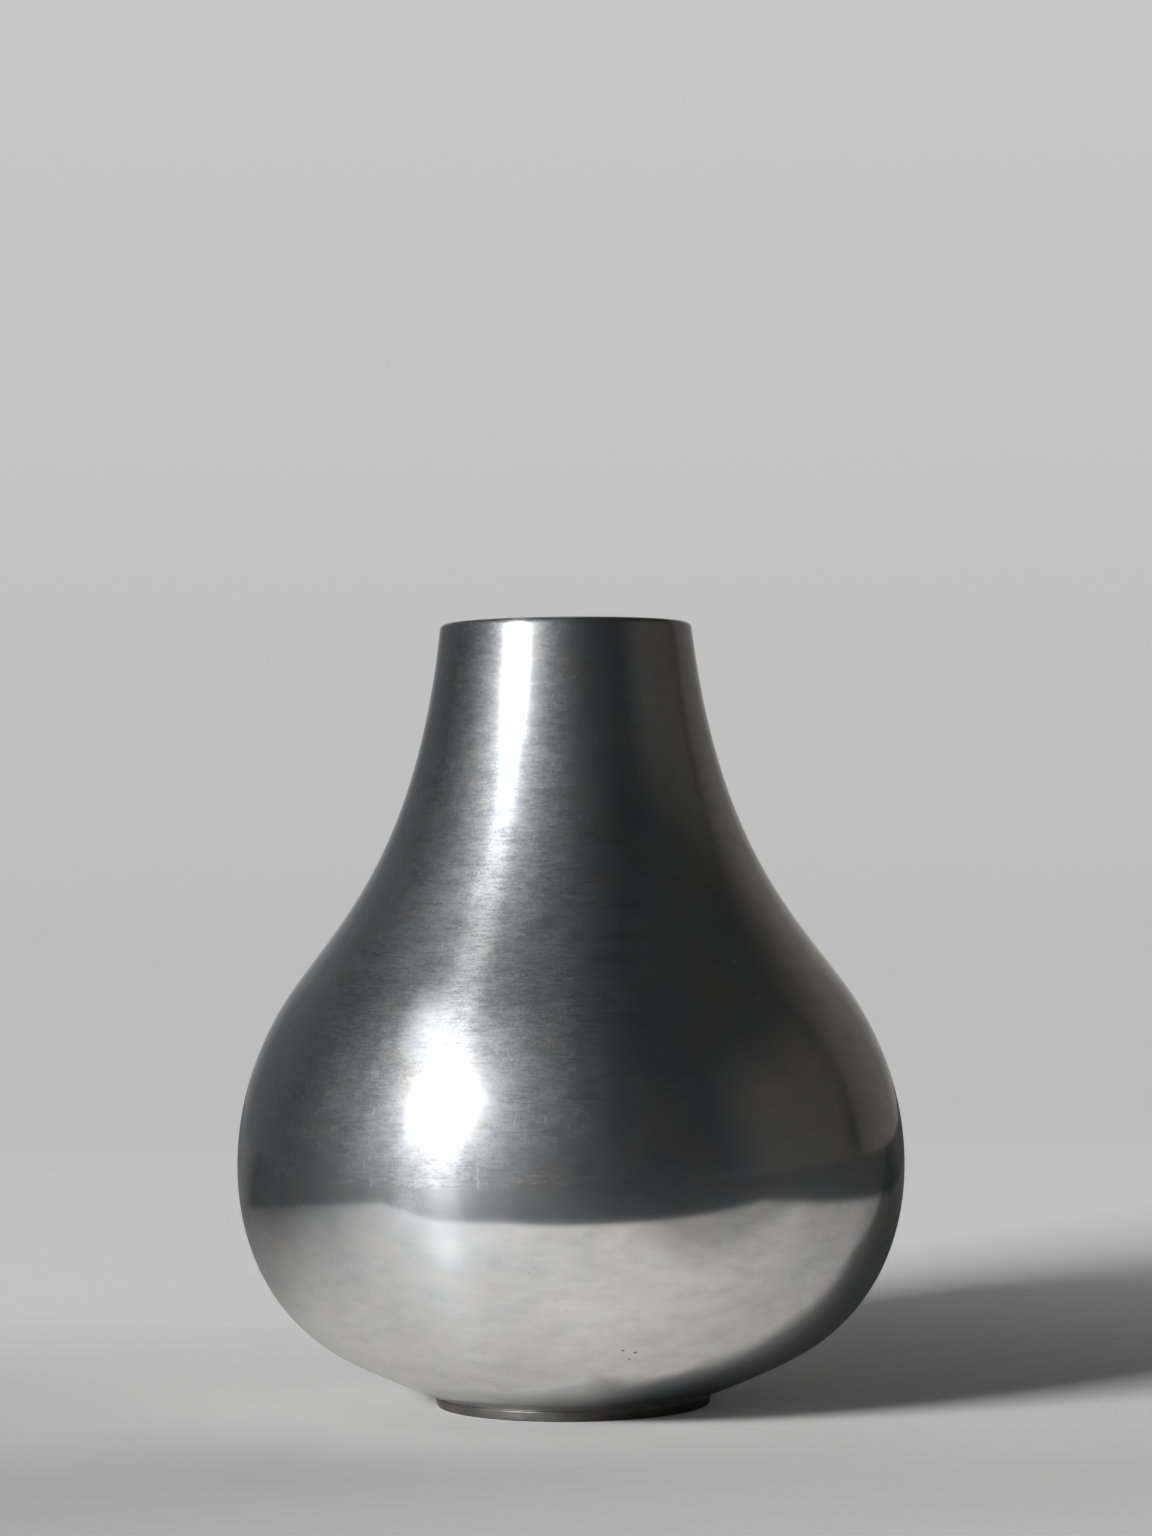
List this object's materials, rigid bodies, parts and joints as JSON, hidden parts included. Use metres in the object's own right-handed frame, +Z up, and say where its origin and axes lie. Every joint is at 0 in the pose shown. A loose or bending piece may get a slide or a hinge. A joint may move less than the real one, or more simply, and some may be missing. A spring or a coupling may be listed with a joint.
{
  "type": "metal vase",
  "caption": "Free-standing spun aluminium vase: low wide belly, long concave neck with a rounded lip, low turned foot ring; holds cut stems.",
  "frame": {"origin": "centre of the foot, on the surface that the vase stands on", "axes": "+Z up along the axis of the vase; the vase is round about it, so X and Y have no preferred direction"},
  "size_m": [0.2048, 0.2048, 0.24],
  "materials": {
    "polished_sheet": "spun and satin-polished, with fine spinning lines and a cloudy grey patina",
    "edge_wire": "bright drawn wire",
    "turned_foot": "turned, slightly duller than the body",
    "filler_metal": "dull as-brazed filler"
  },
  "bodies": {
    "root": {"upper_shell": "polished_sheet", "lip_wire": "edge_wire", "lower_bowl": "polished_sheet", "seam_braze": "filler_metal", "foot_ring": "turned_foot", "foot_braze": "filler_metal"}
  },
  "joints": []
}
